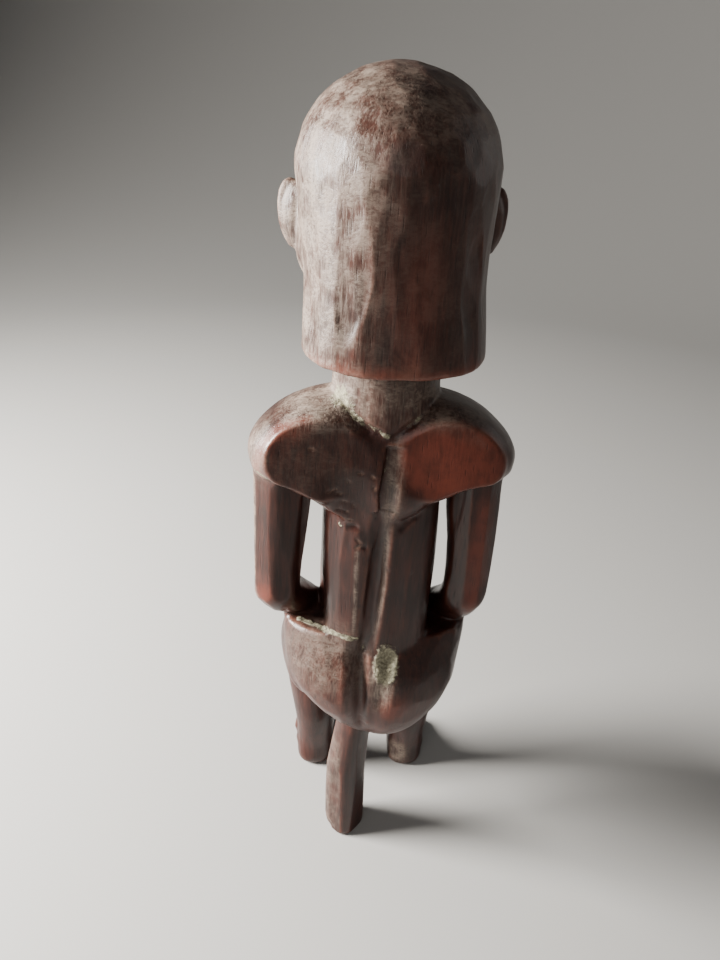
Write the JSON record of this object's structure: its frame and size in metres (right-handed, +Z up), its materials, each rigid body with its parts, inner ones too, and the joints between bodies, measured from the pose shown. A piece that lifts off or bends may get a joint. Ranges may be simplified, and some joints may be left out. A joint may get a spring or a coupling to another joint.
{
  "type": "reliquary guardian figure",
  "caption": "Carved wood guardian figure with a helmet of hair, pillow shoulders, free arms, bent legs and a peg that held it on a relic box.",
  "frame": {"origin": "on the ground, in the middle of the figure's width and depth", "axes": "+Z up; the face looks along -Y, so the figure's back is towards +Y and its left side towards +X"},
  "size_m": [0.0866, 0.09, 0.3],
  "materials": {
    "wood": "dark red-brown wood with a hand-polished patina, worn grey and dusty on the head"
  },
  "bodies": {
    "root": {"guardian_figure": "wood"}
  },
  "joints": []
}
